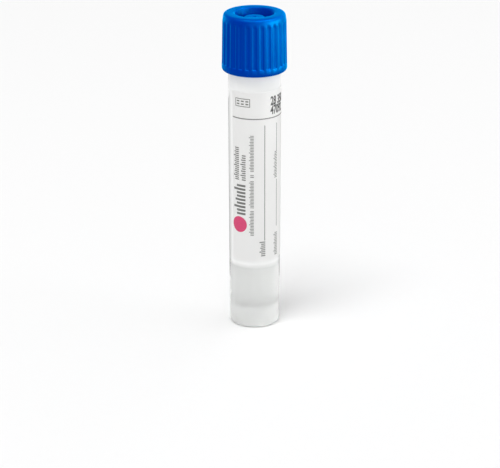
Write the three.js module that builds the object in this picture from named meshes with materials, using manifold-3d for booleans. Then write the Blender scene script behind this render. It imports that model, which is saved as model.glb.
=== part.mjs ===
// Specimen swab tube: a self-standing screw-cap tube with a wrap label and a small fill of
// transport medium. Millimetres, +Z up, origin on the tube's axis in the plane of its foot.
// The label is read from -Y, and its window faces -X and +Y.

import * as THREE from 'three';
import { mergeVertices } from 'three/addons/utils/BufferGeometryUtils.js';
import Module from 'manifold-3d';

// ---- Tube ----
const tubeHeight = 78.45;        // foot to rim
const boreMouthRadius = 5.28;
const boreFootRadius = 5.12;     // where the bore meets the inner cone
const shoulderWall = 1.18;       // barrel's wall under the neck
const footWall = 1.12;           // barrel's wall at the foot
const shoulderFillet = 0.2;
const neckLength = 11.85;        // shoulder to rim
const neckWall = 0.65;           // to the root of the thread
const threadDepth = 0.55;
const rimBand = 1.6;             // plain band above the thread
const rimStep = 0.15;            // how far that band steps in from the neck
const rimFillet = 0.15;
const mouthChamfer = 0.3;

// ---- Tube's foot: a cone inside, and an open skirt around it that the tube stands on ----
const coneLength = 5.4;
const coneTipRadius = 0.9;
const coneTipFillet = 0.3;
const coneWall = 1.0;
const gateRadius = 0.75;         // moulding gate under the cone's tip
const gateHeight = 0.25;
const gateLift = 0.65;           // foot to the gate
const skirtWall = 1.3;
const skirtRoofFillet = 0.3;
const footFillet = 0.9;

// ---- Screw cap ----
const capOverlap = 0.87;         // how far the cap reaches below the shoulder
const capTopWall = 1.5;
const capSkirtWall = 1.05;       // outside the thread's root, at the crown
const capDraft = 0.24;           // how much wider the cap is at its mouth
const crownLean = 0.28;          // how far the cap's side leans in towards the crown
const crownLeanHeight = 2.0;
const capEdgeFillet = 0.55;
const capMouthFillet = 0.4;
const capMouthChamfer = 0.35;
const threadClearance = 0.22;    // between the neck thread's crest and the inside of the skirt
const seatClearance = 0.05;      // between the rim and the underside of the crown

// ---- Grip: long grooves with round ends, which leave narrow ribs between them ----
const ribCount = 28;
const ribWidth = 0.62;
const grooveDepth = 0.26;
const crownBand = 1.1;           // plain band above the grooves
const mouthBand = 1.87;          // plain ring below them

// ---- Plug seal, and the recess in the crown inside it ----
const plugClearance = 0.1;       // between the plug and the bore
const plugTopWall = 0.3;         // between the recess and the bore, at the crown
const plugFloorWall = 1.05;      // the same at the recess floor
const plugLeadIn = 0.4;
const plugLeadHeight = 0.8;
const recessDepth = 5.6;
const recessMouthFillet = 0.35;
const recessFloorFillet = 0.3;
const crownWall = 1.0;           // under the recess, and over the docking bore

// ---- Island in the recess: the closed top of the docking funnel that takes a swab's shaft ----
const dockRadius = 1.25;
const dockDepth = 4.4;           // straight length of the docking bore
const islandWall = 1.2;          // around the docking bore, at the island's top
const islandDraft = 0.2;         // how much wider the island is at its foot
const islandDrop = 1.15;         // island top below the crown
const islandFillet = 0.25;
const funnelLength = 4.2;        // below the underside of the recess
const funnelInset = 1.7;         // funnel's mouth inside the bore
const funnelWall = 0.65;

// ---- Label ----
const labelDrop = 4.95;          // shoulder to the label's upper edge
const labelHeight = 43.65;
const labelThickness = 0.07;
const glueLine = 0.02;
const windowStart = 143;         // degrees round from +X to the label's trailing edge
const windowAngle = 71;          // bare strip between the label's two ends
const windowOvercut = 1;         // the window's cutter passes both edges of the label

// ---- Transport medium ----
const fillLength = 8.85;         // above the cone
const meniscusRise = 0.45;       // how far the liquid climbs the wall
const meniscusReach = 0.9;       // how far in from the wall it curves
const meniscusFillet = 0.6;
const wettingGap = 0.04;         // between the liquid and the wall

// ---- Facets ----
const barrelFacets = 60;
const capFacets = 3 * ribCount;
const filletSteps = 2;
const grooveFacets = 16;
const grooveEndSteps = 3;

// ---- Sizes that follow from the ones above ----
const footRadius = boreFootRadius + footWall;
const shoulderRadius = boreMouthRadius + shoulderWall;
const shoulderHeight = tubeHeight - neckLength;
const neckRadius = boreMouthRadius + neckWall;
const coneTipHeight = gateLift + gateHeight + coneWall;
const coneHeight = coneTipHeight + coneLength;
const crownHeight = tubeHeight + seatClearance + capTopWall;
const capFoot = shoulderHeight - capOverlap;
const threadBore = neckRadius + threadDepth + threadClearance;
const capTopRadius = threadBore + capSkirtWall;
const capMouthRadius = capTopRadius + capDraft;
const degree = Math.PI / 180;

const manifold = await Module();
manifold.setup();

// A corner of a profile: distance from the axis, height, and the radius of its fillet if any.
function corner(r, z, fillet = 0) {
  return { point: new THREE.Vector2(r, z), fillet };
}

// Joins corners into a profile, rounding each filleted corner between its two sides.
function profileThrough(corners) {
  const path = new THREE.Path();
  path.moveTo(corners[0].point.x, corners[0].point.y);
  for (let i = 1; i < corners.length; i += 1) {
    const { point, fillet } = corners[i];
    if (fillet === 0) {
      path.lineTo(point.x, point.y);
      continue;
    }
    const before = corners[i - 1].point.clone().sub(point);
    const after = corners[i + 1].point.clone().sub(point);
    const halfAngle = Math.acos(before.dot(after) / (before.length() * after.length())) / 2;
    const setback = Math.min(fillet / Math.tan(halfAngle), before.length() / 2, after.length() / 2);
    const start = before.setLength(setback).add(point);
    const end = after.setLength(setback).add(point);
    path.lineTo(start.x, start.y);
    path.quadraticCurveTo(point.x, point.y, end.x, end.y);
  }
  return path.getPoints(filletSteps);
}

// Revolves a profile about +Z. The profile runs from the lower end up, with the solid on its left.
function revolve(profile, facets) {
  const geometry = new THREE.LatheGeometry(profile, facets);
  geometry.rotateX(Math.PI / 2);
  return geometry;
}

function toSolid(geometry) {
  const bare = geometry.clone();
  bare.deleteAttribute('normal');
  bare.deleteAttribute('uv');
  const merged = mergeVertices(bare);
  return new manifold.Manifold(new manifold.Mesh({
    numProp: 3,
    vertProperties: Float32Array.from(merged.attributes.position.array),
    triVerts: Uint32Array.from(merged.index.array),
  }));
}

function toGeometry(solid) {
  const mesh = solid.getMesh();
  const geometry = new THREE.BufferGeometry();
  geometry.setAttribute('position', new THREE.BufferAttribute(mesh.vertProperties, 3));
  geometry.setIndex(new THREE.BufferAttribute(mesh.triVerts, 1));
  geometry.computeVertexNormals();
  return geometry;
}

// Outside radius of the drafted barrel at a height.
function barrelRadius(z) {
  return THREE.MathUtils.mapLinear(z, 0, shoulderHeight, footRadius, shoulderRadius);
}

// Radius of the drafted bore at a height above the cone.
function boreRadius(z) {
  return THREE.MathUtils.mapLinear(z, coneHeight, tubeHeight, boreFootRadius, boreMouthRadius);
}

// Height of the inner cone at a distance from the axis.
function coneHeightAt(r) {
  return THREE.MathUtils.mapLinear(r, coneTipRadius, boreFootRadius, coneTipHeight, coneHeight);
}

// Outside radius of the cap's drafted side at a height.
function capSideRadius(z) {
  return THREE.MathUtils.mapLinear(z, capFoot, crownHeight, capMouthRadius, capTopRadius);
}

// ---- Tube: gate, hollow skirt, foot ring, barrel, shoulder, neck, rim, bore, inner cone ----

function makeTube() {
  const skirtInside = footRadius - skirtWall;
  const coneSlope = Math.atan2(coneLength, boreFootRadius - coneTipRadius);
  const undersideDrop = coneWall / Math.cos(coneSlope);
  const skirtRoof = coneHeightAt(skirtInside) - undersideDrop;
  const tipFloor = coneTipHeight - coneWall;
  const tipFloorRadius = coneTipRadius + (undersideDrop - coneWall) / Math.tan(coneSlope);
  const rimRadius = neckRadius - rimStep;
  return revolve(profileThrough([
    corner(0, gateLift),
    corner(gateRadius, gateLift),
    corner(gateRadius, tipFloor),
    corner(tipFloorRadius, tipFloor),
    corner(skirtInside, skirtRoof, skirtRoofFillet),
    corner(skirtInside, 0),
    corner(footRadius, 0, footFillet),
    corner(shoulderRadius, shoulderHeight, shoulderFillet),
    corner(neckRadius, shoulderHeight, shoulderFillet),
    corner(neckRadius, tubeHeight - rimBand),
    corner(rimRadius, tubeHeight - rimBand),
    corner(rimRadius, tubeHeight, rimFillet),
    corner(boreMouthRadius + mouthChamfer / 2, tubeHeight),
    corner(boreRadius(tubeHeight - mouthChamfer), tubeHeight - mouthChamfer),
    corner(boreFootRadius, coneHeight),
    corner(coneTipRadius, coneTipHeight, coneTipFillet),
    corner(0, coneTipHeight),
  ]), barrelFacets);
}

// ---- Screw cap: docking bore and funnel, plug, skirt, side, crown, recess and island ----

function capBlank() {
  const plugRadius = boreMouthRadius - plugClearance;
  const underCrown = crownHeight - capTopWall;
  const recessFloor = crownHeight - recessDepth;
  const floorUnderside = recessFloor - crownWall;
  const plugFoot = floorUnderside + plugLeadHeight;
  const plugFootRadius = boreRadius(plugFoot) - plugClearance;
  const islandTop = crownHeight - islandDrop;
  const islandRadius = dockRadius + islandWall;
  const islandFootRadius = islandRadius + islandDraft;
  const dockTop = islandTop - crownWall;
  const funnelMouth = floorUnderside - funnelLength;
  const funnelMouthRadius = boreMouthRadius - funnelInset;
  return revolve(profileThrough([
    corner(0, dockTop),
    corner(dockRadius, dockTop),
    corner(dockRadius, dockTop - dockDepth),
    corner(funnelMouthRadius, funnelMouth),
    corner(funnelMouthRadius + funnelWall, funnelMouth),
    corner(islandFootRadius + funnelWall, floorUnderside, recessFloorFillet),
    corner(plugFootRadius - plugLeadIn, floorUnderside),
    corner(plugFootRadius, plugFoot),
    corner(plugRadius, underCrown),
    corner(threadBore, underCrown),
    corner(threadBore, capFoot + capMouthChamfer),
    corner(threadBore + capMouthChamfer, capFoot),
    corner(capMouthRadius, capFoot, capMouthFillet),
    corner(capSideRadius(crownHeight - crownLeanHeight), crownHeight - crownLeanHeight),
    corner(capTopRadius - crownLean, crownHeight, capEdgeFillet),
    corner(plugRadius - plugTopWall, crownHeight, recessMouthFillet),
    corner(plugRadius - plugFloorWall, recessFloor, recessFloorFillet),
    corner(islandFootRadius, recessFloor, recessFloorFillet),
    corner(islandRadius, islandTop, islandFillet),
    corner(0, islandTop),
  ]), capFacets);
}

// One grip groove: a rod with round ends, laid along the cap's side so that it bites to the
// groove's depth and leaves a rib on either side.
function grooveCutter() {
  const grooveWidth = (2 * Math.PI * capTopRadius) / ribCount - ribWidth;
  const rodRadius = (grooveWidth ** 2 / 4 + grooveDepth ** 2) / (2 * grooveDepth);
  const low = capFoot + mouthBand + grooveWidth / 2;
  const high = crownHeight - crownBand - grooveWidth / 2;
  const lowEnd = new THREE.Vector3(capSideRadius(low) + rodRadius - grooveDepth, 0, low);
  const highEnd = new THREE.Vector3(capSideRadius(high) + rodRadius - grooveDepth, 0, high);
  const along = highEnd.clone().sub(lowEnd);
  const middle = lowEnd.clone().lerp(highEnd, 0.5);
  const rod = new THREE.CapsuleGeometry(rodRadius, along.length(), grooveEndSteps, grooveFacets);
  rod.applyQuaternion(new THREE.Quaternion().setFromUnitVectors(
    new THREE.Vector3(0, 1, 0), along.normalize()));
  rod.translate(middle.x, middle.y, middle.z);
  return rod;
}

function makeScrewCap() {
  const cutter = grooveCutter();
  let cap = toSolid(capBlank());
  for (let i = 0; i < ribCount; i += 1) {
    const groove = cutter.clone().rotateZ((i * 2 * Math.PI) / ribCount);
    cap = cap.subtract(toSolid(groove));
  }
  return toGeometry(cap);
}

// ---- Label: a thin wrap that follows the barrel's draft, open at the window ----

function makeLabel() {
  const top = shoulderHeight - labelDrop;
  const foot = top - labelHeight;
  const inside = (z) => barrelRadius(z) + glueLine;
  const outside = (z) => inside(z) + labelThickness;
  const wrap = revolve([
    new THREE.Vector2(inside(foot), foot),
    new THREE.Vector2(outside(foot), foot),
    new THREE.Vector2(outside(top), top),
    new THREE.Vector2(inside(top), top),
    new THREE.Vector2(inside(foot), foot),
  ], barrelFacets);
  const wedge = new THREE.Shape();
  wedge.moveTo(0, 0);
  wedge.absarc(0, 0, 2 * shoulderRadius, windowStart * degree, (windowStart + windowAngle) * degree);
  wedge.lineTo(0, 0);
  const window = new THREE.ExtrudeGeometry(wedge, {
    depth: labelHeight + 2 * windowOvercut,
    bevelEnabled: false,
    curveSegments: filletSteps,
  });
  window.translate(0, 0, foot - windowOvercut);
  return toGeometry(toSolid(wrap).subtract(toSolid(window)));
}

// ---- Transport medium: fills the cone and the foot of the bore up to a shallow meniscus ----

function makeMedium() {
  const surface = coneHeight + fillLength;
  const wallLine = surface + meniscusRise;
  return revolve(profileThrough([
    corner(0, coneTipHeight + wettingGap),
    corner(coneTipRadius - wettingGap, coneTipHeight + wettingGap, coneTipFillet),
    corner(boreFootRadius - wettingGap, coneHeight + wettingGap),
    corner(boreRadius(wallLine) - wettingGap, wallLine),
    corner(boreRadius(surface) - meniscusReach, surface, meniscusFillet),
    corner(0, surface),
  ]), barrelFacets);
}

// ---- Assembly ----

function piece(name, geometry, color, roughness) {
  const material = new THREE.MeshStandardMaterial({ color, roughness, metalness: 0 });
  const mesh = new THREE.Mesh(geometry, material);
  mesh.name = name;
  return mesh;
}

const swabTube = new THREE.Group();
swabTube.add(
  piece('tube', makeTube(), '#e3e6e4', 0.35),
  piece('screw_cap', makeScrewCap(), '#0a58bd', 0.3),
  piece('label', makeLabel(), '#f1f1ef', 0.5),
  piece('transport_medium', makeMedium(), '#dfe5e1', 0.1),
);

export default swabTube;
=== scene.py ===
"""Specimen swab tube: a self-standing tube with a ribbed screw cap, a wrap label and its medium.

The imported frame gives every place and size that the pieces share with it, in metres, +Z up,
with the label read from -Y. Each operator in the sidebar builds one piece or group of pieces.
"""

import math

import bmesh
import bpy
from bpy.props import FloatProperty, FloatVectorProperty, IntProperty, PointerProperty
from mathutils import Matrix, Vector


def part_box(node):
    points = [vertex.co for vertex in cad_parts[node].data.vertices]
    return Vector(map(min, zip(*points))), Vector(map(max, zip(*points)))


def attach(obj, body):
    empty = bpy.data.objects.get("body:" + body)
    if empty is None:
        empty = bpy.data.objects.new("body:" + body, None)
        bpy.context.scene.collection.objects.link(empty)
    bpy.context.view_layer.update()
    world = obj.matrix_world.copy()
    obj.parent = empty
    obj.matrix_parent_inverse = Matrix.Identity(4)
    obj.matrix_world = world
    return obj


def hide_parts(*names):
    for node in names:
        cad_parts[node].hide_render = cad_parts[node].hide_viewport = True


bl_info = {
    "name": "Specimen swab tube",
    "version": (1, 0, 0),
    "blender": (4, 5, 0),
    "location": "View3D > Sidebar > Swab Tube",
    "description": "Builds a capped specimen tube with its label and medium on the packed frame",
    "category": "Object",
}

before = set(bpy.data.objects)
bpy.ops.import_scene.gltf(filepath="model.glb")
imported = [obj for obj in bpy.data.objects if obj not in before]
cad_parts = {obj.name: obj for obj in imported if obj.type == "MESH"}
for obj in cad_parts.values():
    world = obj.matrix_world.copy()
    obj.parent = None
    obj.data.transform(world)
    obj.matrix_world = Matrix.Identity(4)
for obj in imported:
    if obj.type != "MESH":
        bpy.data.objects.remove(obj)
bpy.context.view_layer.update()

MM = 0.001
FULL_TURN = 2 * math.pi
HAIR = 0.005 * MM            # how far apart two places still count as one
TOUCHING = 0.001 * MM        # how far apart doubled points may lie where they are merged
TUBE_STEPS = 144             # faces round the tube and the medium
FILLET_STEPS = 5             # faces across a rounded corner
SMOOTH_ANGLE = math.radians(38)
THREAD_SUNK = 0.05 * MM      # how deep a thread's root lies in the wall that it stands on

TUBE_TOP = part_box("tube")[1].z
CAP_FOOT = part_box("screw_cap")[0].z
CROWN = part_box("screw_cap")[1].z
LABEL_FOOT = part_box("label")[0].z
LABEL_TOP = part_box("label")[1].z
MEDIUM_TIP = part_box("transport_medium")[0].z
MEDIUM_WALL_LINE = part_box("transport_medium")[1].z


def linear(code):
    """Turns an sRGB hex colour such as #0a58bd into linear RGBA."""
    channels = (int(code[i:i + 2], 16) / 255 for i in (1, 3, 5))
    return (*(c / 12.92 if c <= 0.04045 else ((c + 0.055) / 1.055) ** 2.4 for c in channels), 1.0)


def length(name, description, millimetres):
    """A size that a user may change, shown in the scene's own unit."""
    return FloatProperty(
        name=name, description=description, default=millimetres * MM,
        unit="LENGTH", subtype="DISTANCE", precision=5,
    )


def colour(name, description, code):
    """A colour that a user may change."""
    return FloatVectorProperty(
        name=name, description=description, default=linear(code),
        size=4, min=0, max=1, subtype="COLOR",
    )


# ---- Sizes and colours ----

class TubeSizes(bpy.types.PropertyGroup):
    bore_mouth: length("Bore at the mouth", "Radius of the bore at the rim", 5.28)
    bore_foot: length("Bore at the foot", "Radius of the bore where its cone starts", 5.12)
    shoulder_radius: length("Shoulder radius", "Barrel's radius under the neck", 6.46)
    foot_radius: length("Foot radius", "Barrel's radius at the foot", 6.24)
    neck_radius: length("Neck radius", "Radius of the thread's root", 5.93)
    neck_length: length("Neck length", "Shoulder to rim", 11.85)
    cone_length: length("Cone length", "Height of the cone inside the foot", 5.4)
    cone_tip_radius: length("Cone tip radius", "Radius of the flat at the cone's tip", 0.9)
    cone_wall: length("Cone wall", "Thickness of the cone's wall", 1.0)
    skirt_wall: length("Skirt wall", "Thickness of the skirt that the tube stands on", 1.3)
    thread_start: length("Thread start", "Shoulder to where the neck's thread starts", 1.9)
    thread_depth: length("Thread depth", "Root to crest", 0.55)
    thread_pitch: length("Thread pitch", "Rise of the thread in one turn", 3.0)
    plastic: colour("Tube plastic", "Natural polypropylene", "#fefffe")


class CapSizes(bpy.types.PropertyGroup):
    top_radius: length("Top radius", "Cap's radius at the crown", 7.75)
    mouth_radius: length("Mouth radius", "Cap's radius at its mouth", 7.99)
    thread_bore: length("Thread bore", "Inside radius of the skirt", 6.7)
    top_wall: length("Top wall", "Thickness of the crown over the rim", 1.5)
    recess_depth: length("Recess depth", "Crown to the recess floor", 5.6)
    recess_radius: length("Recess radius", "Recess's radius at its mouth", 4.88)
    island_radius: length("Island radius", "Radius of the island's top", 2.45)
    island_drop: length("Island drop", "Island's top below the crown", 1.15)
    dock_radius: length("Dock radius", "Bore that grips a swab's shaft", 1.25)
    crown_lean: length("Crown lean", "How far the side leans in towards the crown", 0.28)
    groove_depth: length("Groove depth", "Depth of the grip's grooves", 0.2)
    rib_width: length("Rib width", "Width of the grip's ribs", 0.62)
    rib_count: IntProperty(name="Ribs", description="Ribs round the grip", default=28, min=8)
    plastic: colour("Cap plastic", "Blue polypropylene", "#001e9c")
    gleam: colour("Cap gleam", "Tint of the cap's reflections", "#00cbff")


class LabelSizes(bpy.types.PropertyGroup):
    thickness: length("Label thickness", "Thickness of the film", 0.07)
    glue_line: length("Glue line", "Gap between barrel and film", 0.02)
    ink_height: length("Ink height", "How far the ink stands above the film", 0.02)
    film: colour("Label film", "White film", "#f8f8f7")
    grey_ink: colour("Grey ink", "Rules and small marks", "#6a6b69")
    black_ink: colour("Black ink", "Numbers printed on the filling line", "#101012")
    red_ink: colour("Red ink", "Round colour mark", "#cf3a6c")


class MediumSizes(bpy.types.PropertyGroup):
    wetting_gap: length("Wetting gap", "Gap between liquid and wall", 0.04)
    meniscus_rise: length("Meniscus rise", "How far the liquid climbs the wall", 0.45)
    meniscus_reach: length("Meniscus reach", "How far in from the wall it curves", 0.9)
    liquid: colour("Liquid", "Clear buffered saline", "#f8faf9")


class StageSettings(bpy.types.PropertyGroup):
    camera_distance: length("Camera distance", "Level distance from the tube's axis", 500)
    camera_height: length("Camera height", "Above the floor", 212.3)
    camera_aside: length("Camera aside", "To the left of the tube's axis", 1.155)
    camera_pitch: FloatProperty(
        name="Camera pitch", description="Tilt below level",
        default=math.radians(20.747), subtype="ANGLE",
    )
    camera_roll: FloatProperty(
        name="Camera roll", description="Turn about the view",
        default=math.radians(-0.095), subtype="ANGLE",
    )
    lens: FloatProperty(
        name="Lens", description="Focal length in millimetres", default=153.94, unit="CAMERA",
    )
    paper: colour("Floor", "White studio paper", "#f0f0f0")


class SwabTubeSettings(bpy.types.PropertyGroup):
    tube: PointerProperty(type=TubeSizes)
    cap: PointerProperty(type=CapSizes)
    label: PointerProperty(type=LabelSizes)
    medium: PointerProperty(type=MediumSizes)
    stage: PointerProperty(type=StageSettings)


def barrel_radius(sizes, z):
    """Outside radius of the drafted barrel at a height."""
    share = z / (TUBE_TOP - sizes.neck_length)
    return sizes.foot_radius + share * (sizes.shoulder_radius - sizes.foot_radius)


def bore_radius(sizes, z):
    """Radius of the drafted bore at a height above the cone."""
    cone_top = cone_tip_height(sizes) + sizes.cone_length
    share = (z - cone_top) / (TUBE_TOP - cone_top)
    return sizes.bore_foot + share * (sizes.bore_mouth - sizes.bore_foot)


def cone_tip_height(sizes):
    """Height of the cone's inner tip, which the medium fills down to."""
    return MEDIUM_TIP - bpy.context.scene.swab_tube.medium.wetting_gap


# ---- Modelling helpers ----

def deselect_all():
    """Leaves edit mode and clears the selection, so that an operator acts on what comes next."""
    if bpy.context.object and bpy.context.object.mode != "OBJECT":
        bpy.ops.object.mode_set(mode="OBJECT")
    bpy.ops.object.select_all(action="DESELECT")


def make_active(piece):
    """Selects one object alone and makes it the active one."""
    deselect_all()
    piece.select_set(True)
    bpy.context.view_layer.objects.active = piece


def select_points(piece, wanted):
    """In edit mode, selects exactly the vertices whose places pass the test."""
    mesh = bmesh.from_edit_mesh(piece.data)
    for element in (*mesh.verts, *mesh.edges, *mesh.faces):
        element.select = False
    for vertex in mesh.verts:
        vertex.select = wanted(vertex.co)
    mesh.select_flush(True)
    bmesh.update_edit_mesh(piece.data)


def extrude_outline(name, corners):
    """Draws an outline in the XZ plane by extruding one point from corner to corner.

    A corner is (radius, height) or (radius, height, setback), and a setback rounds the corner.
    The piece is left in edit mode.
    """
    deselect_all()
    bpy.ops.mesh.primitive_plane_add(size=MM)
    piece = bpy.context.object
    piece.name = piece.data.name = name
    bpy.ops.object.mode_set(mode="EDIT")
    bpy.ops.mesh.select_all(action="SELECT")
    bpy.ops.mesh.merge(type="CENTER")
    bpy.ops.transform.translate(value=(corners[0][0], 0, corners[0][1]))
    for before, after in zip(corners, corners[1:]):
        step = (after[0] - before[0], 0, after[1] - before[1])
        bpy.ops.mesh.extrude_region_move(TRANSFORM_OT_translate={"value": step})
    for radius, height, setback in (c for c in corners if len(c) == 3):
        place = Vector((radius, 0, height))
        select_points(piece, lambda co: (co - place).length < HAIR)
        bpy.ops.mesh.bevel(affect="VERTICES", offset=setback, segments=FILLET_STEPS)
    return piece


def spin_outline(piece, steps):
    """Turns the outline a full turn about Z, then closes its seam and its poles."""
    bpy.ops.mesh.select_all(action="SELECT")
    bpy.ops.mesh.spin(steps=steps, angle=FULL_TURN, center=(0, 0, 0), axis=(0, 0, 1))
    bpy.ops.mesh.select_all(action="SELECT")
    bpy.ops.mesh.remove_doubles(threshold=TOUCHING)
    bpy.ops.mesh.normals_make_consistent(inside=False)
    bpy.ops.object.mode_set(mode="OBJECT")
    return piece


def apply_modifier(piece, kind, **settings):
    """Adds a modifier with its settings and applies it."""
    modifier = piece.modifiers.new(kind.lower(), kind)
    for name, value in settings.items():
        setattr(modifier, name, value)
    make_active(piece)
    bpy.ops.object.modifier_apply(modifier=modifier.name)


def fuse(piece, part):
    """Joins another closed part to the piece as one skin."""
    apply_modifier(piece, "BOOLEAN", operation="UNION", object=part, solver="EXACT")
    bpy.data.objects.remove(part)


def helix_thread(name, radius, section, low, pitch, turns):
    """A thread: a section swept up a right-hand helix, running out almost to nothing at both ends.

    The section is a list of (outward, upward) places about the helix.
    """
    steps_per_turn = 48
    count = round(turns * steps_per_turn)
    run_out_steps = steps_per_turn / 8
    blunt_end = 0.4               # steps of run-out cut off at an end, which leave a small face
    path = bpy.data.curves.new(name, "CURVE")
    path.dimensions = "3D"
    path.twist_mode = "Z_UP"
    path.use_fill_caps = True
    helix = path.splines.new("POLY")
    helix.points.add(count)
    for i, point in enumerate(helix.points):
        angle = FULL_TURN * i / steps_per_turn
        height = low + pitch * i / steps_per_turn
        point.co = (radius * math.cos(angle), radius * math.sin(angle), height, 1)
        steps_from_end = min(i, count - i) + blunt_end
        point.radius = min(1, steps_from_end / run_out_steps)
    profile = bpy.data.curves.new(name + "_section", "CURVE")
    ring = profile.splines.new("POLY")
    ring.points.add(len(section) - 1)
    ring.use_cyclic_u = True
    for point, (outward, upward) in zip(ring.points, section):
        point.co = (outward, upward, 0, 1)
    section_object = bpy.data.objects.new(name + "_section", profile)
    thread = bpy.data.objects.new(name, path)
    for made in (section_object, thread):
        bpy.context.scene.collection.objects.link(made)
    path.bevel_mode = "OBJECT"
    path.bevel_object = section_object
    make_active(thread)
    bpy.ops.object.convert(target="MESH")
    thread = bpy.context.object
    bpy.data.objects.remove(section_object)
    bpy.ops.object.mode_set(mode="EDIT")
    bpy.ops.mesh.select_all(action="SELECT")
    bpy.ops.mesh.remove_doubles(threshold=TOUCHING)
    bpy.ops.mesh.normals_make_consistent(inside=False)
    bpy.ops.object.mode_set(mode="OBJECT")
    return thread


def finish_piece(piece, material, body, node):
    """Smooths a piece, gives it its material, and puts it on its body.

    It takes the place of its CAD node, where it has one.
    """
    make_active(piece)
    bpy.ops.object.shade_smooth_by_angle(angle=SMOOTH_ANGLE)
    piece.data.materials.clear()
    piece.data.materials.append(material)
    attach(piece, body)
    if node:
        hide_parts(node)


# ---- Materials ----

NOISE_LOW, NOISE_HIGH = 0.3, 0.7     # most of a noise pattern's values fall between these

# Sockets of a Mix node that mixes colours, whose names its other sockets share
MIX_AMOUNT, MIX_FROM, MIX_TO, MIX_RESULT = 0, 6, 7, 2


def add_node(material, kind, inputs=None, **settings):
    """Adds a node with its own settings, and fills its inputs with values or with links."""
    node = material.node_tree.nodes.new(kind)
    for name, value in settings.items():
        setattr(node, name, value)
    for name, value in (inputs or {}).items():
        if isinstance(value, bpy.types.NodeSocket):
            material.node_tree.links.new(value, node.inputs[name])
        else:
            node.inputs[name].default_value = value
    return node


def new_material(name):
    """An empty node material, and the object coordinates that its patterns lie on."""
    material = bpy.data.materials.new(name)
    material.use_nodes = True
    material.node_tree.nodes.clear()
    return material, add_node(material, "ShaderNodeTexCoord").outputs["Object"]


def per_size(millimetres):
    """Noise scale whose pattern repeats about once in this size."""
    return 1 / (millimetres * MM)


def scaled(shade, factor):
    """The same colour, lighter or darker."""
    return (*(min(1, c * factor) for c in shade[:3]), 1.0)


def natural_polypropylene(shade):
    """Natural polypropylene, injection moulded in a polished tool: milky, with faint flow clouds a
    few millimetres wide and a slight orange peel. Its dry bore scatters light, so the wall looks
    whiter there, and it clears below the line that the medium wets."""
    material, place = new_material("natural_polypropylene")
    clouds = add_node(
        material, "ShaderNodeTexNoise", {"Vector": place, "Scale": per_size(7), "Detail": 2.0})
    tone = add_node(
        material, "ShaderNodeMix",
        {MIX_AMOUNT: clouds.outputs["Fac"], MIX_FROM: scaled(shade, 0.98), MIX_TO: shade},
        data_type="RGBA")
    polish = add_node(material, "ShaderNodeMapRange", {
        "Value": clouds.outputs["Fac"], "From Min": NOISE_LOW, "From Max": NOISE_HIGH,
        "To Min": 0.11, "To Max": 0.15})
    peel = add_node(
        material, "ShaderNodeTexNoise", {"Vector": place, "Scale": per_size(0.9), "Detail": 1.0})
    bump = add_node(
        material, "ShaderNodeBump",
        {"Height": peel.outputs["Fac"], "Strength": 0.08, "Distance": 0.01 * MM})
    height = add_node(material, "ShaderNodeSeparateXYZ", {0: place}).outputs["Z"]
    half_change = 0.6 * MM
    clearness = add_node(material, "ShaderNodeMapRange", {
        "Value": height,
        "From Min": MEDIUM_WALL_LINE - half_change, "From Max": MEDIUM_WALL_LINE + half_change,
        "To Min": 0.5, "To Max": 0.03})
    shader = add_node(material, "ShaderNodeBsdfPrincipled", {
        "Base Color": tone.outputs[MIX_RESULT],
        "Roughness": polish.outputs["Result"],
        "Normal": bump.outputs["Normal"],
        "IOR": 1.49,
        "Transmission Weight": clearness.outputs["Result"],
    })
    add_node(material, "ShaderNodeOutputMaterial", {"Surface": shader.outputs["BSDF"]})
    return material


def blue_polypropylene(shade, gleam):
    """Blue polypropylene, injection moulded: opaque and evenly coloured, satin on the ribs, with
    slight flow marks in the gloss. Its deep blue body goes azure where it catches the light."""
    material, place = new_material("blue_polypropylene")
    flow = add_node(
        material, "ShaderNodeTexNoise", {"Vector": place, "Scale": per_size(4), "Detail": 3.0})
    tone = add_node(
        material, "ShaderNodeMix",
        {MIX_AMOUNT: flow.outputs["Fac"], MIX_FROM: scaled(shade, 0.93), MIX_TO: shade},
        data_type="RGBA")
    satin = add_node(material, "ShaderNodeMapRange", {
        "Value": flow.outputs["Fac"], "From Min": NOISE_LOW, "From Max": NOISE_HIGH,
        "To Min": 0.36, "To Max": 0.44})
    grain = add_node(
        material, "ShaderNodeTexNoise", {"Vector": place, "Scale": per_size(0.35), "Detail": 2.0})
    bump = add_node(
        material, "ShaderNodeBump",
        {"Height": grain.outputs["Fac"], "Strength": 0.12, "Distance": 0.008 * MM})
    body = add_node(
        material, "ShaderNodeBsdfDiffuse",
        {"Color": tone.outputs[MIX_RESULT], "Normal": bump.outputs["Normal"]})
    shine = add_node(material, "ShaderNodeBsdfGlossy", {
        "Color": gleam,
        "Roughness": satin.outputs["Result"],
        "Normal": bump.outputs["Normal"],
    })
    share = add_node(material, "ShaderNodeFresnel", {"IOR": 1.49, "Normal": bump.outputs["Normal"]})
    surface = add_node(
        material, "ShaderNodeMixShader",
        {0: share.outputs["Fac"], 1: body.outputs["BSDF"], 2: shine.outputs["BSDF"]})
    add_node(material, "ShaderNodeOutputMaterial", {"Surface": surface.outputs["Shader"]})
    return material


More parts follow.
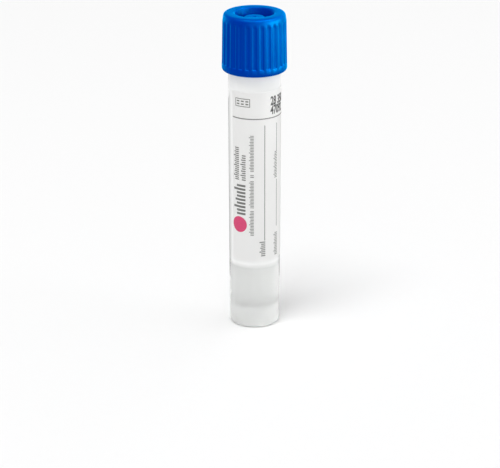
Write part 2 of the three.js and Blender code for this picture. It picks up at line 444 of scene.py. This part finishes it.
def label_film(shade):
    """White polypropylene label film with a satin top coat, laid by machine: nearly flat, with the
    fine grain of the coat, and a faint painted shade that wanders over about 9 mm and stands in for
    waviness from the wall under it. A little light gets by."""
    material, place = new_material("label_film")
    # Painted shade: the film's colour darkens a little in patches about 9 mm wide, standing in for
    # the waviness of the film
    painted_wave_shade = add_node(
        material, "ShaderNodeTexNoise", {"Vector": place, "Scale": per_size(9), "Detail": 1.0})
    tone = add_node(
        material, "ShaderNodeMix",
        {MIX_AMOUNT: painted_wave_shade.outputs["Fac"], MIX_FROM: scaled(shade, 0.98), MIX_TO: shade},
        data_type="RGBA")
    grain = add_node(
        material, "ShaderNodeTexNoise", {"Vector": place, "Scale": per_size(0.3), "Detail": 2.0})
    satin = add_node(material, "ShaderNodeMapRange", {
        "Value": grain.outputs["Fac"], "From Min": NOISE_LOW, "From Max": NOISE_HIGH,
        "To Min": 0.42, "To Max": 0.5})
    bump = add_node(
        material, "ShaderNodeBump",
        {"Height": grain.outputs["Fac"], "Strength": 0.1, "Distance": 0.006 * MM})
    face = add_node(material, "ShaderNodeBsdfPrincipled", {
        "Base Color": tone.outputs[MIX_RESULT],
        "Roughness": satin.outputs["Result"],
        "Normal": bump.outputs["Normal"],
        "IOR": 1.5,
    })
    through = add_node(material, "ShaderNodeBsdfTranslucent", {"Color": shade})
    share_let_by = 0.15
    surface = add_node(
        material, "ShaderNodeMixShader",
        {0: share_let_by, 1: face.outputs["BSDF"], 2: through.outputs["BSDF"]})
    add_node(material, "ShaderNodeOutputMaterial", {"Surface": surface.outputs["Shader"]})
    return material


def printed_ink(name, shade):
    """Ink printed on label film: matt, a little uneven in density at the scale of its screen."""
    material, place = new_material(name)
    screen = add_node(
        material, "ShaderNodeTexNoise", {"Vector": place, "Scale": per_size(0.25), "Detail": 1.0})
    thin, thick = scaled(shade, 1.2), scaled(shade, 0.85)
    tone = add_node(
        material, "ShaderNodeMix",
        {MIX_AMOUNT: screen.outputs["Fac"], MIX_FROM: thick, MIX_TO: thin}, data_type="RGBA")
    shader = add_node(
        material, "ShaderNodeBsdfPrincipled",
        {"Base Color": tone.outputs[MIX_RESULT], "Roughness": 0.55, "IOR": 1.5})
    add_node(material, "ShaderNodeOutputMaterial", {"Surface": shader.outputs["BSDF"]})
    return material


def clear_medium(shade):
    """Buffered saline: clear, colourless and wet, with a few faint streaks."""
    material, place = new_material("clear_medium")
    streaks = add_node(
        material, "ShaderNodeTexNoise", {"Vector": place, "Scale": per_size(3), "Detail": 1.0})
    tone = add_node(
        material, "ShaderNodeMix",
        {MIX_AMOUNT: streaks.outputs["Fac"], MIX_FROM: scaled(shade, 0.97), MIX_TO: shade},
        data_type="RGBA")
    shader = add_node(material, "ShaderNodeBsdfPrincipled", {
        "Base Color": tone.outputs[MIX_RESULT],
        "Roughness": 0.05,
        "IOR": 1.33,
        "Transmission Weight": 1.0,
    })
    add_node(material, "ShaderNodeOutputMaterial", {"Surface": shader.outputs["BSDF"]})
    return material


def studio_paper(shade):
    """Seamless white paper: matt, with the faint mottle of its fibres."""
    material, place = new_material("studio_paper")
    fibre = add_node(
        material, "ShaderNodeTexNoise", {"Vector": place, "Scale": per_size(2), "Detail": 2.0})
    tone = add_node(
        material, "ShaderNodeMix",
        {MIX_AMOUNT: fibre.outputs["Fac"], MIX_FROM: scaled(shade, 0.99), MIX_TO: shade},
        data_type="RGBA")
    paper = add_node(material, "ShaderNodeBsdfDiffuse", {"Color": tone.outputs[MIX_RESULT]})
    add_node(material, "ShaderNodeOutputMaterial", {"Surface": paper.outputs["BSDF"]})
    return material


def black_card():
    """Matt black card, seen only in gloss, where it paints dark reflections along the barrel's
    edges; it shows nothing but a faint tooth.
    """
    material, place = new_material("black_card")
    tooth = add_node(
        material, "ShaderNodeTexNoise", {"Vector": place, "Scale": per_size(0.5), "Detail": 2.0})
    tone = add_node(
        material, "ShaderNodeMix",
        {MIX_AMOUNT: tooth.outputs["Fac"], MIX_FROM: linear("#101010"), MIX_TO: linear("#181818")},
        data_type="RGBA")
    card = add_node(material, "ShaderNodeBsdfDiffuse", {"Color": tone.outputs[MIX_RESULT]})
    add_node(material, "ShaderNodeOutputMaterial", {"Surface": card.outputs["BSDF"]})
    return material


# ---- Pieces ----

class SWABTUBE_OT_tube(bpy.types.Operator):
    """Moulds the tube: skirt, foot, barrel, threaded neck, rim, bore and the cone inside"""

    bl_idname = "swab_tube.tube"
    bl_label = "Make tube"

    def execute(self, context):
        sizes = context.scene.swab_tube.tube
        piece = spin_outline(extrude_outline("tube_moulding", self.outline(sizes)), TUBE_STEPS)
        fuse(piece, self.neck_thread(sizes))
        material = natural_polypropylene(sizes.plastic)
        finish_piece(piece, material, "tube_body", "tube")
        return {"FINISHED"}

    def outline(self, sizes):
        """The tube's section, from the gate under the cone round the outside to the cone's tip."""
        gate_radius, gate_lift = 0.75 * MM, 0.65 * MM
        rim_band, rim_step = 1.6 * MM, 0.15 * MM
        mouth_chamfer = 0.3 * MM
        shoulder = TUBE_TOP - sizes.neck_length
        tip = cone_tip_height(sizes)
        cone_top = tip + sizes.cone_length
        slope = math.atan2(sizes.cone_length, sizes.bore_foot - sizes.cone_tip_radius)
        drop = sizes.cone_wall / math.cos(slope)
        skirt_inside = sizes.foot_radius - sizes.skirt_wall
        skirt_roof = tip + (skirt_inside - sizes.cone_tip_radius) * math.tan(slope) - drop
        underside = tip - sizes.cone_wall
        underside_radius = sizes.cone_tip_radius + (drop - sizes.cone_wall) / math.tan(slope)
        rim_radius = sizes.neck_radius - rim_step
        return [
            (0, gate_lift),
            (gate_radius, gate_lift),
            (gate_radius, underside),
            (underside_radius, underside),
            (skirt_inside, skirt_roof, 0.3 * MM),
            (skirt_inside, 0, 0.12 * MM),
            (sizes.foot_radius, 0, 0.9 * MM),
            (sizes.shoulder_radius, shoulder, 0.2 * MM),
            (sizes.neck_radius, shoulder, 0.2 * MM),
            (sizes.neck_radius, TUBE_TOP - rim_band, 0.05 * MM),
            (rim_radius, TUBE_TOP - rim_band),
            (rim_radius, TUBE_TOP, 0.15 * MM),
            (sizes.bore_mouth + mouth_chamfer / 2, TUBE_TOP, 0.05 * MM),
            (bore_radius(sizes, TUBE_TOP - mouth_chamfer), TUBE_TOP - mouth_chamfer, 0.05 * MM),
            (sizes.bore_foot, cone_top, 0.4 * MM),
            (sizes.cone_tip_radius, tip, 0.3 * MM),
            (0, tip),
        ]

    def neck_thread(self, sizes):
        """The neck's thread, with sloping flanks and a flat crest, sunk a little into the neck."""
        root_half, crest_half = 0.62 * MM, 0.24 * MM
        crest = sizes.thread_depth + THREAD_SUNK
        section = [(0, -root_half), (crest, -crest_half), (crest, crest_half), (0, root_half)]
        return helix_thread(
            "neck_thread", sizes.neck_radius - THREAD_SUNK, section,
            low=TUBE_TOP - sizes.neck_length + sizes.thread_start,
            pitch=sizes.thread_pitch, turns=2.25)


class SWABTUBE_OT_cap(bpy.types.Operator):
    """Moulds the screw cap: ribbed grip, crown, recess, island, plug, funnel and thread"""

    bl_idname = "swab_tube.cap"
    bl_label = "Make screw cap"

    columns_per_rib = 16          # faces round the cap for each rib with its groove
    rows_per_end = 7              # faces up each end of a groove
    lean_height = 2.0 * MM        # from the crown down to where the side starts to lean in
    crown_band = 1.1 * MM         # plain band above the grooves
    mouth_band = 1.77 * MM        # plain ring below them
    soft_edge = 0.1 * MM          # how far a groove's side reaches round the edge of its rib
    groove_flat = 0.3             # share of a groove's half width that its flat bottom takes
    ledge_rise = 0.32 * MM        # height of the ledge that closes a groove at its foot
    run_out = 1.3 * MM            # height over which a groove fades out at its top

    def execute(self, context):
        sizes = context.scene.swab_tube.cap
        tube = context.scene.swab_tube.tube
        piece = extrude_outline("screw_cap_moulding", self.outline(sizes, tube))
        piece = spin_outline(piece, self.columns_per_rib * sizes.rib_count)
        self.press_grooves(piece, sizes)
        fuse(piece, self.skirt_thread(sizes, tube))
        material = blue_polypropylene(sizes.plastic, sizes.gleam)
        finish_piece(piece, material, "cap_body", "screw_cap")
        return {"FINISHED"}

    def side_radius(self, sizes, z):
        """Outside radius of the cap's drafted side at a height, leaning in near the crown."""
        share = (z - CAP_FOOT) / (CROWN - CAP_FOOT)
        lean = sizes.crown_lean * max(0, 1 - (CROWN - z) / self.lean_height)
        return sizes.mouth_radius + share * (sizes.top_radius - sizes.mouth_radius) - lean

    def groove_places(self, sizes):
        """Half a groove's width with its soft edges, its foot, and the height where it fades."""
        half = math.pi * sizes.top_radius / sizes.rib_count - sizes.rib_width / 2 + self.soft_edge
        foot = CAP_FOOT + self.mouth_band
        fade_start = CROWN - self.crown_band - self.run_out
        return half, foot, fade_start

    def outline(self, sizes, tube):
        """The cap's section, from the top of the docking bore round the outside to the island."""
        clearance = 0.1 * MM
        plug = tube.bore_mouth - clearance
        under_crown = CROWN - sizes.top_wall
        floor = CROWN - sizes.recess_depth
        underside = floor - 1.0 * MM
        plug_foot = underside + 0.8 * MM
        plug_foot_radius = bore_radius(tube, plug_foot) - clearance
        island_top = CROWN - sizes.island_drop
        island_foot = sizes.island_radius + 0.2 * MM
        dock_top = island_top - 1.0 * MM
        dock_foot = dock_top - 4.4 * MM
        funnel_mouth = underside - 4.2 * MM
        funnel_radius = tube.bore_mouth - 1.7 * MM
        funnel_wall = 0.65 * MM
        gate_radius, gate_depth = 0.45 * MM, 0.1 * MM
        half, foot, fade_start = self.groove_places(sizes)
        shares = [i / self.rows_per_end for i in range(self.rows_per_end + 1)]
        rows = [foot + half * share for share in shares]
        rows += [fade_start + self.run_out * share for share in shares]
        rows += [CROWN - self.lean_height]
        side = [(self.side_radius(sizes, z), z) for z in sorted(rows)]
        return [
            (0, dock_top),
            (sizes.dock_radius, dock_top, 0.2 * MM),
            (sizes.dock_radius, dock_foot, 0.3 * MM),
            (funnel_radius, funnel_mouth, 0.15 * MM),
            (funnel_radius + funnel_wall, funnel_mouth, 0.15 * MM),
            (island_foot + funnel_wall, underside, 0.3 * MM),
            (plug_foot_radius - 0.4 * MM, underside, 0.15 * MM),
            (plug_foot_radius, plug_foot, 0.3 * MM),
            (plug, under_crown, 0.1 * MM),
            (sizes.thread_bore, under_crown, 0.1 * MM),
            (sizes.thread_bore, CAP_FOOT + 0.35 * MM),
            (sizes.thread_bore + 0.35 * MM, CAP_FOOT, 0.1 * MM),
            (sizes.mouth_radius, CAP_FOOT, 0.75 * MM),
            *side,
            (sizes.top_radius - sizes.crown_lean, CROWN, 0.7 * MM),
            (sizes.recess_radius, CROWN, 0.35 * MM),
            (plug - 1.05 * MM, floor, 0.3 * MM),
            (island_foot, floor, 0.3 * MM),
            (sizes.island_radius, island_top, 0.25 * MM),
            (gate_radius, island_top, 0.05 * MM),
            (gate_radius * 0.8, island_top - gate_depth),
            (0, island_top - gate_depth),
        ]

    def press_grooves(self, piece, sizes):
        """Presses the grooves in from the side, with flat bottoms and soft rib edges."""
        half, foot, fade_start = self.groove_places(sizes)
        period = FULL_TURN / sizes.rib_count
        group = piece.vertex_groups.new(name="grooves")
        for vertex in piece.data.vertices:
            x, y, z = vertex.co
            side = self.side_radius(sizes, z)
            on_side = math.hypot(x, y) > side - HAIR
            if not on_side or not foot < z < fade_start + self.run_out:
                continue
            angle = math.atan2(y, x)
            across = side * abs(angle - period * round(angle / period))
            up_side = (across / half - self.groove_flat) / (1 - self.groove_flat)
            down_ledge = 1 - (z - foot) / self.ledge_rise
            rise = min(1, max(0, up_side, down_ledge))
            fade = max(0, z - fade_start) / self.run_out
            depth = (math.cos(math.pi / 2 * rise) * math.cos(math.pi / 2 * fade)) ** 2
            group.add([vertex.index], depth, "REPLACE")
        apply_modifier(
            piece, "DISPLACE", strength=-sizes.groove_depth, mid_level=0,
            direction="NORMAL", vertex_group=group.name)

    def skirt_thread(self, sizes, tube):
        """The skirt's thread, half a pitch above the neck's, sunk a little into the skirt."""
        root_half, crest_half = 0.55 * MM, 0.22 * MM
        crest = -tube.thread_depth - THREAD_SUNK
        section = [(0, -root_half), (0, root_half), (crest, crest_half), (crest, -crest_half)]
        return helix_thread(
            "skirt_thread", sizes.thread_bore + THREAD_SUNK, section,
            low=TUBE_TOP - tube.neck_length + tube.thread_start + tube.thread_pitch / 2,
            pitch=tube.thread_pitch, turns=2.0)


class SWABTUBE_OT_label(bpy.types.Operator):
    """Wraps the label film round the barrel, open along the window where the fill shows"""

    bl_idname = "swab_tube.label"
    bl_label = "Make label"

    window_edge = math.radians(143)     # the window's far edge, round from the right by the back
    wrap_angle = math.radians(289)      # how far the film goes from there, by back, right and front
    wrap_steps = 145                    # faces round it

    def execute(self, context):
        settings = context.scene.swab_tube
        sizes, tube = settings.label, settings.tube
        inside_low = barrel_radius(tube, LABEL_FOOT) + sizes.glue_line
        inside_high = barrel_radius(tube, LABEL_TOP) + sizes.glue_line
        section = [
            (inside_low, LABEL_FOOT),
            (inside_low + sizes.thickness, LABEL_FOOT),
            (inside_high + sizes.thickness, LABEL_TOP),
            (inside_high, LABEL_TOP),
        ]
        piece = extrude_outline("label_wrap", section)
        bpy.ops.mesh.select_all(action="SELECT")
        bpy.ops.mesh.edge_face_add()
        # Run without a window, this operator turns the other way
        bpy.ops.transform.rotate(
            value=-self.window_edge, orient_axis="Z", center_override=(0, 0, 0))
        bpy.ops.mesh.select_all(action="SELECT")
        bpy.ops.mesh.spin(
            steps=self.wrap_steps, angle=self.wrap_angle, center=(0, 0, 0), axis=(0, 0, 1))
        bpy.ops.mesh.select_all(action="SELECT")
        bpy.ops.mesh.normals_make_consistent(inside=False)
        bpy.ops.object.mode_set(mode="OBJECT")
        finish_piece(piece, label_film(sizes.film), "tube_body", "label")
        return {"FINISHED"}


class SWABTUBE_OT_print(bpy.types.Operator):
    """Prints the label: ruled lines, rows of small marks, a round colour mark and plain numbers"""

    bl_idname = "swab_tube.print"
    bl_label = "Make label print"

    bend_step = 0.45 * MM         # ink is cut at least this fine across, to bend round the barrel

    # Places on the flat label are in millimetres, to the right of the front and up from the foot.
    # Ruled lines: left, low, width, height
    lines = (
        (-6.17, 54.85, 32.4, 0.24),         # the heading rule round the label
        (2.46, 23.4, 0.17, 29.9),           # the first writing rule
        (6.24, 46.1, 0.14, 7.2),            # the second one, over its upper word
        (6.24, 26.5, 0.14, 12.3),           # and under that word
    )
    # Box with dashes: left, low, width, height, and the width of its line
    box = (-5.1, 57.95, 4.0, 2.1, 0.17)
    dash_lefts = (-4.65, -3.45, -2.25)
    dash_lows = (58.5, 59.2)
    dash_width, dash_height = 0.75, 0.32
    # Wording that runs up the label: left, low, width, height, bars, and ink's share of the height
    wording = (
        (-5.7, 30.1, 3.4, 8.2, 9, 0.58),    # large
        (-5.75, 39.1, 1.65, 8.6, 17, 0.5),  # two middling rows over it
        (-3.65, 39.1, 1.4, 6.8, 12, 0.5),
        (-1.4, 24.9, 1.2, 6.6, 17, 0.45),   # four small words in a row
        (-1.4, 32.1, 1.2, 7.2, 19, 0.45),
        (-1.4, 40, 1.2, 0.9, 2, 0.45),
        (-1.4, 41.6, 1.2, 9.4, 24, 0.45),
        (1.2, 19.3, 1.5, 4.1, 8, 0.5),      # under the first writing rule
        (5.15, 39.3, 1.3, 7.0, 17, 0.45),   # partway up the second one
        (5.2, 19, 1.4, 6.1, 14, 0.45),      # and under it
    )
    bar_lengths = (0.72, 0.72, 1.0, 0.72, 0.86)     # plain rhythm that the bars of a row follow

    spot_aside, spot_height, spot_radius = -4.0 * MM, 27.5 * MM, 2.05 * MM

    numbers_left, numbers_right = 4.15 * MM, 13 * MM
    numbers_height = 58.22 * MM   # line that the first row of numbers stands on
    numbers_size = 3.0 * MM
    numbers_bold = 0.1 * MM       # how far their strokes are fattened
    numbers_spacing = 0.77        # share of the usual step between rows
    numbers_narrow = 0.62         # share of the usual width

    def execute(self, context):
        sizes = context.scene.swab_tube.label
        grey = self.start_print("label_rules")
        self.rules_and_wording()
        self.wrap(context, grey, printed_ink("grey_ink", sizes.grey_ink))
        red = self.start_print("label_colour_mark")
        self.colour_mark()
        self.wrap(context, red, printed_ink("red_ink", sizes.red_ink))
        self.wrap(context, self.numbers(), printed_ink("black_ink", sizes.black_ink))
        return {"FINISHED"}

    def start_print(self, name):
        """An empty mesh in edit mode, which flat strokes are laid into."""
        deselect_all()
        bpy.ops.mesh.primitive_plane_add(size=MM)
        piece = bpy.context.object
        piece.name = piece.data.name = name
        bpy.ops.object.mode_set(mode="EDIT")
        bpy.ops.mesh.select_all(action="SELECT")
        bpy.ops.mesh.delete(type="VERT")
        return piece

    def stroke(self, left, low, width, height):
        """Lays one flat stroke of ink."""
        cuts = max(1, math.ceil(width * MM / self.bend_step))
        bpy.ops.mesh.primitive_grid_add(
            x_subdivisions=cuts, y_subdivisions=1, size=MM, rotation=(math.pi / 2, 0, 0))
        bpy.ops.transform.resize(value=(width, 1, height), center_override=(0, 0, 0))
        bpy.ops.transform.translate(value=((left + width / 2) * MM, 0, (low + height / 2) * MM))

    def outline_box(self, left, low, width, height, line):
        """Lays a box of four strokes."""
        self.stroke(left, low, width, line)
        self.stroke(left, low + height - line, width, line)
        self.stroke(left, low + line, line, height - 2 * line)
        self.stroke(left + width - line, low + line, line, height - 2 * line)

    def bars(self, left, low, width, height, count, share):
        """Lays a row of short bars that runs up the tube, which stands for a line of wording."""
        pitch = height / count
        for i in range(count):
            reach = width * self.bar_lengths[i % len(self.bar_lengths)]
            self.stroke(left + width - reach, low + i * pitch, reach, pitch * share)

    def rules_and_wording(self):
        """The ruled lines, the small box, the rows of bars, and the dashes in the box."""
        for line in self.lines:
            self.stroke(*line)
        self.outline_box(*self.box)
        for row in self.wording:
            self.bars(*row)
        for left in self.dash_lefts:
            for low in self.dash_lows:
                self.stroke(left, low, self.dash_width, self.dash_height)

    def colour_mark(self):
        """A plain round spot, cut across so that it bends."""
        bpy.ops.mesh.primitive_circle_add(
            vertices=48, radius=self.spot_radius, fill_type="NGON", rotation=(math.pi / 2, 0, 0))
        bpy.ops.transform.translate(value=(self.spot_aside, 0, self.spot_height))
        self.cut_across(self.spot_aside - self.spot_radius, self.spot_aside + self.spot_radius)

    def numbers(self):
        """Two rows of plain numbers, as a filling line's printer puts on, bold and narrow."""
        deselect_all()
        bpy.ops.object.text_add(rotation=(math.pi / 2, 0, 0))
        text = bpy.context.object
        text.name = "label_numbers"
        text.data.body = "28 350\n47092"
        text.data.size = self.numbers_size
        text.data.offset = self.numbers_bold
        text.data.space_line = self.numbers_spacing
        bpy.ops.object.convert(target="MESH")
        text = bpy.context.object
        bpy.ops.object.transform_apply(location=True, rotation=True, scale=True)
        bpy.ops.object.mode_set(mode="EDIT")
        bpy.ops.mesh.select_all(action="SELECT")
        bpy.ops.mesh.remove_doubles(threshold=TOUCHING)
        bpy.ops.transform.resize(value=(self.numbers_narrow, 1, 1), center_override=(0, 0, 0))
        bpy.ops.transform.translate(value=(self.numbers_left, 0, self.numbers_height))
        self.cut_across(self.numbers_left, self.numbers_right)
        return text

    def cut_across(self, start, end):
        """Cuts the flat ink along upright lines between two places, so that it can bend."""
        on_cut = 0.00001 * MM         # points this near to a cut are taken to lie on it
        for i in range(1, math.ceil((end - start) / self.bend_step)):
            bpy.ops.mesh.select_all(action="SELECT")
            bpy.ops.mesh.bisect(
                plane_co=(start + i * self.bend_step, 0, 0), plane_no=(1, 0, 0), threshold=on_cut)

    def wrap(self, context, piece, ink):
        """Bends the flat ink round the label, from just inside the film, and gives it thickness.

        Its faces are turned outwards first, because the thickness grows along them.
        """
        deselect_all()
        settings = context.scene.swab_tube
        sizes = settings.label
        sunk = sizes.ink_height / 2
        outside_barrel = sizes.glue_line + sizes.thickness - sunk
        for vertex in piece.data.vertices:
            aside, height = vertex.co.x, vertex.co.z
            radius = barrel_radius(settings.tube, height) + outside_barrel
            angle = aside / radius
            vertex.co = (radius * math.sin(angle), -radius * math.cos(angle), height)
        make_active(piece)
        bpy.ops.object.mode_set(mode="EDIT")
        bpy.ops.mesh.select_all(action="DESELECT")
        mesh = bmesh.from_edit_mesh(piece.data)
        mesh.normal_update()
        for face in mesh.faces:
            centre = face.calc_center_median()
            face.select = face.normal.dot((centre.x, centre.y, 0)) < 0
        bmesh.update_edit_mesh(piece.data)
        bpy.ops.mesh.flip_normals()
        bpy.ops.object.mode_set(mode="OBJECT")
        apply_modifier(piece, "SOLIDIFY", thickness=sizes.ink_height + sunk, offset=1)
        finish_piece(piece, ink, "tube_body", None)


class SWABTUBE_OT_medium(bpy.types.Operator):
    """Fills the cone and the foot of the bore with medium, up to a meniscus that climbs the wall"""

    bl_idname = "swab_tube.medium"
    bl_label = "Make transport medium"

    meniscus_steps = 6            # straight steps in the meniscus's curve

    def execute(self, context):
        settings = context.scene.swab_tube
        sizes, tube = settings.medium, settings.tube
        cone_top = cone_tip_height(tube) + tube.cone_length
        surface = MEDIUM_WALL_LINE - sizes.meniscus_rise
        wall = bore_radius(tube, MEDIUM_WALL_LINE) - sizes.wetting_gap
        shares = [i / self.meniscus_steps for i in range(1, self.meniscus_steps + 1)]
        meniscus = [
            (wall - sizes.meniscus_reach * share, surface + sizes.meniscus_rise * (1 - share) ** 3)
            for share in shares
        ]
        outline = [
            (0, MEDIUM_TIP),
            (tube.cone_tip_radius - sizes.wetting_gap, MEDIUM_TIP, 0.3 * MM),
            (tube.bore_foot - sizes.wetting_gap, cone_top + sizes.wetting_gap, 0.4 * MM),
            (wall, MEDIUM_WALL_LINE),
            *meniscus,
            (0, surface),
        ]
        piece = spin_outline(extrude_outline("transport_medium_fill", outline), TUBE_STEPS)
        material = clear_medium(sizes.liquid)
        finish_piece(piece, material, "tube_body", "transport_medium")
        return {"FINISHED"}


# ---- Stage ----

class SWABTUBE_OT_stage(bpy.types.Operator):
    """Sets up the floor, the soft lights, the surroundings and the camera"""

    bl_idname = "swab_tube.stage"
    bl_label = "Make stage"

    floor_width = 8               # metres
    room_level = 0.62             # how bright the room is to what it lights
    aim_height = 42 * MM          # height on the tube that the lamps face

    # Azimuth and elevation are in degrees, azimuth round from the front to the right.
    # Name, azimuth, elevation, distance and width in metres, watts
    softboxes = (
        ("key_softbox", -35, 70, 2.4, 1.0, 28),
        ("right_softbox", 85, 20, 1.8, 1.2, 4.8),
        ("rear_softbox", 130, 25, 1.8, 1.6, 5),
    )
    # Name, azimuth, elevation, watts
    glints = (
        ("left_glint", -125, 15, 0.06),
        ("front_glint", 0, 15, 0.08),
        ("front_right_glint", 50, 15, 0.31),
        ("right_glint", 80, 15, 0.38),
        ("crown_left_glint", -40, 62, 0.12),
        ("crown_front_glint", 45, 62, 0.26),
        ("crown_right_glint", 80, 55, 0.3),
    )
    glint_distance, glint_width, glint_height = 160 * MM, 120 * MM, 60 * MM
    dark_card_behind, dark_card_width, dark_card_height = 28 * MM, 90 * MM, 50 * MM

    def execute(self, context):
        settings = context.scene.swab_tube.stage
        self.floor(settings)
        self.surroundings(context)
        for softbox in self.softboxes:
            self.lamp(*softbox)
        for glint in self.glints:
            self.glint(*glint)
        self.dark_card()
        self.camera(context, settings)
        context.scene.view_settings.view_transform = "Standard"
        return {"FINISHED"}

    def floor(self, settings):
        """A wide floor of white paper, which keeps the tube's shadow."""
        deselect_all()
        bpy.ops.mesh.primitive_plane_add(size=self.floor_width)
        floor = bpy.context.object
        floor.name = floor.data.name = "studio_floor"
        floor.data.materials.append(studio_paper(settings.paper))

    def surroundings(self, context):
        """A plain grey room, which is white to the camera, in gloss and through clear walls."""
        world = bpy.data.worlds.new("studio_room")
        context.scene.world = world
        world.use_nodes = True
        world.node_tree.nodes.clear()
        ray = add_node(world, "ShaderNodeLightPath").outputs
        camera_or_gloss = add_node(
            world, "ShaderNodeMath", {0: ray["Is Camera Ray"], 1: ray["Is Glossy Ray"]},
            operation="MAXIMUM")
        sees_backdrop = add_node(
            world, "ShaderNodeMath", {0: camera_or_gloss.outputs[0], 1: ray["Is Transmission Ray"]},
            operation="MAXIMUM")
        white = linear("#ffffff")
        room = add_node(
            world, "ShaderNodeBackground", {"Color": white, "Strength": self.room_level})
        backdrop = add_node(world, "ShaderNodeBackground", {"Color": white, "Strength": 1.0})
        either = add_node(world, "ShaderNodeMixShader", {
            0: sees_backdrop.outputs[0],
            1: room.outputs["Background"],
            2: backdrop.outputs["Background"],
        })
        add_node(world, "ShaderNodeOutputWorld", {"Surface": either.outputs["Shader"]})

    def lamp(self, name, azimuth, elevation, distance, width, power):
        """A square softbox that faces the tube."""
        deselect_all()
        round_by, up_by = math.radians(azimuth), math.radians(elevation)
        level = Vector((math.sin(round_by), -math.cos(round_by), 0)) * math.cos(up_by)
        outward = level + Vector((0, 0, math.sin(up_by)))
        aim = Vector((0, 0, self.aim_height))
        bpy.ops.object.light_add(
            type="AREA", location=aim + outward * distance,
            rotation=outward.to_track_quat("Z", "Y").to_euler())
        lamp = bpy.context.object
        lamp.name = lamp.data.name = name
        lamp.data.size = width
        lamp.data.energy = power
        return lamp

    def glint(self, name, azimuth, elevation, power):
        """A small card of light close to the tube, which shows only as a shine on it."""
        card = self.lamp(
            name, azimuth, elevation, self.glint_distance, self.glint_width, power)
        card.data.shape = "RECTANGLE"
        card.data.size_y = self.glint_height
        card.visible_camera = False
        card.visible_diffuse = False
        card.visible_transmission = False

    def dark_card(self):
        """A dark card close behind the barrel, which only the gloss sees, and so paints a dark
        reflection along the barrel's edges.
        """
        deselect_all()
        bpy.ops.mesh.primitive_plane_add(
            size=self.dark_card_height, rotation=(math.pi / 2, 0, 0),
            location=(0, self.dark_card_behind, self.dark_card_height / 2))
        bpy.ops.transform.resize(value=(self.dark_card_width / self.dark_card_height, 1, 1))
        card = bpy.context.object
        card.name = card.data.name = "dark_card"
        card.data.materials.append(black_card())
        # Seen only in gloss, the card paints dark reflections along the barrel's edges and blocks
        # no light
        for ray in ("camera", "diffuse", "transmission", "shadow"):
            setattr(card, "visible_" + ray, False)

    def camera(self, context, settings):
        """A camera in front of the tube, which looks down at it."""
        deselect_all()
        place = (-settings.camera_aside, -settings.camera_distance, settings.camera_height)
        pitched = Matrix.Rotation(math.pi / 2 - settings.camera_pitch, 3, "X")
        turn = pitched @ Matrix.Rotation(settings.camera_roll, 3, "Z")
        bpy.ops.object.camera_add(location=place, rotation=turn.to_euler())
        camera = bpy.context.object
        camera.name = camera.data.name = "studio_camera"
        camera.data.lens = settings.lens
        context.scene.camera = camera


# ---- Sidebar, registration and the run ----

STEPS = (
    SWABTUBE_OT_tube,
    SWABTUBE_OT_cap,
    SWABTUBE_OT_label,
    SWABTUBE_OT_print,
    SWABTUBE_OT_medium,
    SWABTUBE_OT_stage,
)


class SWABTUBE_PT_sidebar(bpy.types.Panel):
    """Lists the steps that build the tube"""

    bl_label = "Specimen swab tube"
    bl_idname = "SWABTUBE_PT_sidebar"
    bl_space_type = "VIEW_3D"
    bl_region_type = "UI"
    bl_category = "Swab Tube"

    def draw(self, context):
        for step in STEPS:
            self.layout.operator(step.bl_idname)


CLASSES = (
    TubeSizes, CapSizes, LabelSizes, MediumSizes, StageSettings, SwabTubeSettings,
    *STEPS, SWABTUBE_PT_sidebar,
)


def register():
    for cls in CLASSES:
        bpy.utils.register_class(cls)
    bpy.types.Scene.swab_tube = PointerProperty(type=SwabTubeSettings)


def unregister():
    del bpy.types.Scene.swab_tube
    for cls in reversed(CLASSES):
        bpy.utils.unregister_class(cls)


def main():
    register()
    bpy.ops.swab_tube.tube()
    bpy.ops.swab_tube.cap()
    bpy.ops.swab_tube.label()
    bpy.ops.swab_tube.print()
    bpy.ops.swab_tube.medium()
    bpy.ops.swab_tube.stage()


if __name__ == "__main__":
    main()
